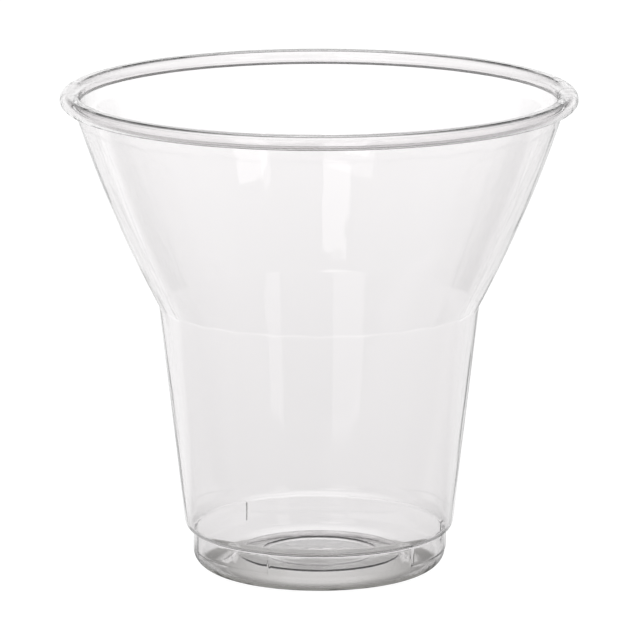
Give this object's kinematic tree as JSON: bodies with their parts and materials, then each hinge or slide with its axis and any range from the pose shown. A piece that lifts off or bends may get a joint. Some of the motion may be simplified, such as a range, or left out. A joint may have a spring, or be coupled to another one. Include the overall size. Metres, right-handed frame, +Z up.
{
  "type": "sundae cup",
  "caption": "Clear plastic sundae cup with a tapered body, a panelled flared top, a rolled rim and a stacking ring at its foot.",
  "frame": {"origin": "middle of the foot, on the surface that the cup stands on", "axes": "+Z up along the cup's axis, -Y towards the front, +X to the right"},
  "size_m": [0.098, 0.098, 0.0922],
  "materials": {
    "clear_plastic": "clear gloss, thin formed sheet"
  },
  "bodies": {
    "root": {"cup": "clear_plastic"}
  },
  "joints": []
}
